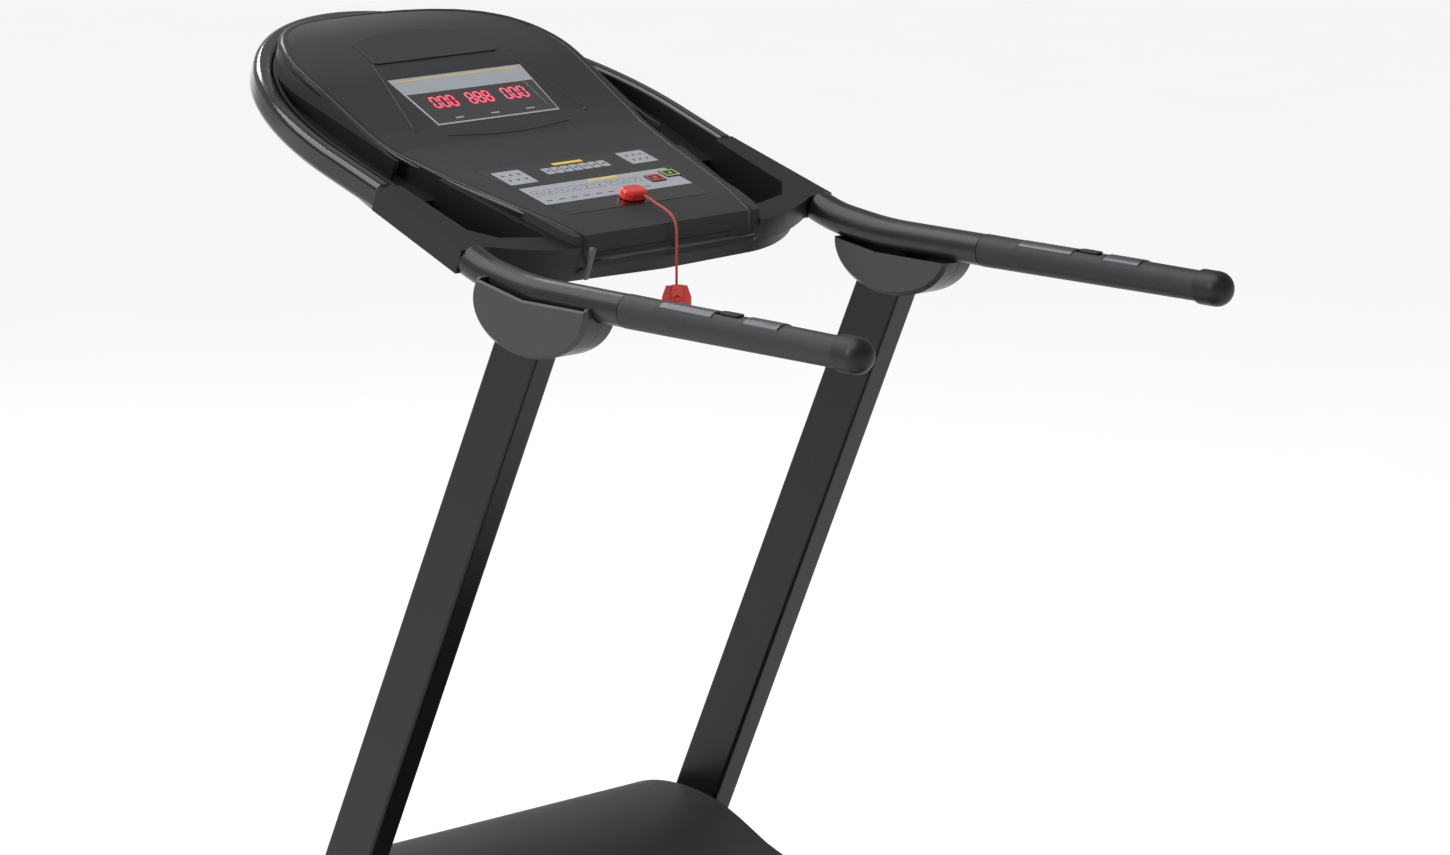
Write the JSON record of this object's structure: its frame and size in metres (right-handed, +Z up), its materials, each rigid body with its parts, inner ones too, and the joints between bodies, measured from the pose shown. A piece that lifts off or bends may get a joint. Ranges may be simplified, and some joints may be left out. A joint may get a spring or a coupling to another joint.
{
  "type": "folding treadmill",
  "caption": "Folding home treadmill with a running deck, leaning uprights, handrails with grips, and a round console with display, keypad and safety key",
  "frame": {"origin": "on the floor under the middle of the machine, the deck lowered", "axes": "+X to the runner's right, +Y the way the runner faces, +Z up"},
  "size_m": [0.692, 1.7039, 1.2618],
  "materials": {
    "frame_black": "gloss black powder coat",
    "shell_grey": "fine textured dark grey",
    "shell_black": "satin black",
    "hoop_black": "gloss black",
    "grip_black": "soft satin",
    "cover_grey": "satin dark grey",
    "sensor_steel": "brushed",
    "label_silver": "printed silver",
    "window_dark": "smoked, gloss",
    "board_green": "solder mask",
    "red_plastic": "gloss red",
    "red_cord": "braided nylon",
    "key_green": "printed",
    "key_red": "printed",
    "zinc": "zinc plated",
    "rubber_black": "matt",
    "belt_black": "diamond textured",
    "board_wood": "waxed",
    "roller_steel": "turned",
    "motor_black": "satin",
    "gas_strut": "gloss black",
    "chrome_rod": "polished",
    "heat_sink": "bare"
  },
  "bodies": {
    "base": {"base_side_tubes": "frame_black", "base_cross_tubes": "frame_black", "base_foot_pads_and_plugs": "rubber_black", "frame_brackets": "frame_black", "base_bolts_and_pins": "zinc", "upright_left": "frame_black", "upright_right": "frame_black", "upright_boots": "shell_black", "handrail_tubes": "frame_black", "rail_sleeves": "cover_grey", "grip_left": "grip_black", "grip_right": "grip_black", "pulse_sensor_plates": "sensor_steel", "handrail_end_caps": "shell_black", "bracket_covers_left": "cover_grey", "bracket_covers_right": "cover_grey", "console_upper_shell": "shell_grey", "console_lower_shell": "shell_black", "console_hoop": "hoop_black", "display_panel": "label_silver", "display_window": "window_dark", "console_circuit_boards": "board_green", "keypad_overlay": "window_dark", "badge_plate": "hoop_black"},
    "deck": {"deck_frame": "frame_black", "running_board": "board_wood", "cushions_and_bushes": "rubber_black", "running_belt": "belt_black", "roller_axles": "zinc", "deck_brackets": "frame_black", "deck_bolts_and_pins": "zinc", "motor_tray": "frame_black", "drive_motor": "motor_black", "drive_belt": "rubber_black", "motor_controller": "heat_sink", "motor_hood": "shell_grey", "foot_rail_left": "shell_black", "foot_rail_right": "shell_black", "rear_end_caps": "shell_grey", "power_inlet": "shell_black"},
    "safety_key": {"safety_key": "red_plastic", "safety_cord": "red_cord", "clip_body": "red_plastic"},
    "front_roller": {"front_roller": "roller_steel"},
    "rear_roller": {"rear_roller": "roller_steel"},
    "motor_shaft": {"motor_shaft": "roller_steel"},
    "strut_barrel": {"strut_barrel": "gas_strut"},
    "strut_rod": {"strut_rod": "chrome_rod"},
    "release_lever": {"release_lever": "shell_black"},
    "transport_wheel_left": {"transport_wheel_left": "shell_black"},
    "transport_wheel_right": {"transport_wheel_right": "shell_black"},
    "incline_foot_left": {"incline_foot_left": "rubber_black"},
    "incline_foot_right": {"incline_foot_right": "rubber_black"},
    "clip_jaw": {"clip_jaw": "red_plastic"},
    "rocker_key_left": {"rocker_key_left": "shell_black"},
    "rocker_key_right": {"rocker_key_right": "shell_black"},
    "start_key": {"start_key": "key_green"},
    "stop_key": {"stop_key": "key_red"},
    "power_switch": {"power_switch": "red_plastic"},
    "reset_button": {"reset_button": "shell_black"}
  },
  "joints": [
    {"name": "deck_fold", "type": "hinge", "parent": "base", "child": "deck", "pos_m": [0, 0.56, 0.125], "axis": [-1, 0, 0], "range_deg": [0, 62]},
    {"name": "strut_pivot", "type": "hinge", "parent": "base", "child": "strut_barrel", "pos_m": [0, 0.56, 0.046], "axis": [-1, 0, 0], "range_deg": [0, 57]},
    {"name": "strut_slide", "type": "slide", "parent": "strut_barrel", "child": "strut_rod", "axis": [0, -0.9966, 0.0826], "range_m": [0, 0.074]},
    {"name": "release_lever_press", "type": "hinge", "parent": "strut_barrel", "child": "release_lever", "pos_m": [0, 0.29774, 0.05369], "axis": [1, 0, 0], "range_deg": [0, 12], "stiffness_Nm_per_rad": 0.5},
    {"name": "front_roller_spin", "type": "hinge", "parent": "deck", "child": "front_roller", "pos_m": [0, 0.345, 0.1544], "axis": [1, 0, 0], "continuous": true},
    {"name": "rear_roller_spin", "type": "hinge", "parent": "deck", "child": "rear_roller", "pos_m": [0, -0.8, 0.1544], "axis": [1, 0, 0], "continuous": true},
    {"name": "motor_spin", "type": "hinge", "parent": "deck", "child": "motor_shaft", "pos_m": [0, 0.48, 0.185], "axis": [1, 0, 0], "continuous": true},
    {"name": "transport_wheel_left_spin", "type": "hinge", "parent": "base", "child": "transport_wheel_left", "pos_m": [-0.32, 0.811, 0.036], "axis": [1, 0, 0], "continuous": true},
    {"name": "transport_wheel_right_spin", "type": "hinge", "parent": "base", "child": "transport_wheel_right", "pos_m": [0.32, 0.811, 0.036], "axis": [1, 0, 0], "continuous": true},
    {"name": "incline_foot_left_turn", "type": "hinge", "parent": "deck", "child": "incline_foot_left", "pos_m": [-0.245, -0.74, 0.046], "axis": [-1, 0, 0], "range_deg": [0, 180]},
    {"name": "incline_foot_right_turn", "type": "hinge", "parent": "deck", "child": "incline_foot_right", "pos_m": [0.245, -0.74, 0.046], "axis": [-1, 0, 0], "range_deg": [0, 180]},
    {"name": "safety_key_pull", "type": "slide", "parent": "base", "child": "safety_key", "axis": [0, -0.294, 0.9558], "range_m": [0, 0.05]},
    {"name": "clip_jaw_open", "type": "hinge", "parent": "safety_key", "child": "clip_jaw", "pos_m": [-0.00096, 0.23308, 0.958], "axis": [-0.766, 0.6428, 0], "range_deg": [0, 9], "stiffness_Nm_per_rad": 0.02},
    {"name": "rocker_key_left_tilt", "type": "hinge", "parent": "base", "child": "rocker_key_left", "pos_m": [-0.3195, -0.1546, 1.0194], "axis": [1, 0, 0], "range_deg": [-3, 3], "stiffness_Nm_per_rad": 0.05},
    {"name": "rocker_key_right_tilt", "type": "hinge", "parent": "base", "child": "rocker_key_right", "pos_m": [0.3195, -0.1546, 1.0194], "axis": [1, 0, 0], "range_deg": [-3, 3], "stiffness_Nm_per_rad": 0.05},
    {"name": "start_key_press", "type": "slide", "parent": "base", "child": "start_key", "axis": [0, 0.294, -0.9558], "range_m": [0, 0.001], "stiffness_N_per_m": 200},
    {"name": "stop_key_press", "type": "slide", "parent": "base", "child": "stop_key", "axis": [0, 0.294, -0.9558], "range_m": [0, 0.001], "stiffness_N_per_m": 200},
    {"name": "power_switch_rock", "type": "hinge", "parent": "deck", "child": "power_switch", "pos_m": [-0.12, 0.603, 0.125], "axis": [0, 0, 1], "range_deg": [0, 12]},
    {"name": "reset_button_press", "type": "slide", "parent": "deck", "child": "reset_button", "axis": [0, -1, 0], "range_m": [0, 0.002], "stiffness_N_per_m": 300}
  ],
  "couplings": [
    {"joint": "strut_pivot", "follows": "deck_fold", "ratio": 0.9062},
    {"joint": "strut_slide", "follows": "deck_fold", "m_per_rad": 0.0668},
    {"joint": "rear_roller_spin", "follows": "front_roller_spin", "ratio": 1},
    {"joint": "motor_spin", "follows": "front_roller_spin", "ratio": 2.4}
  ]
}
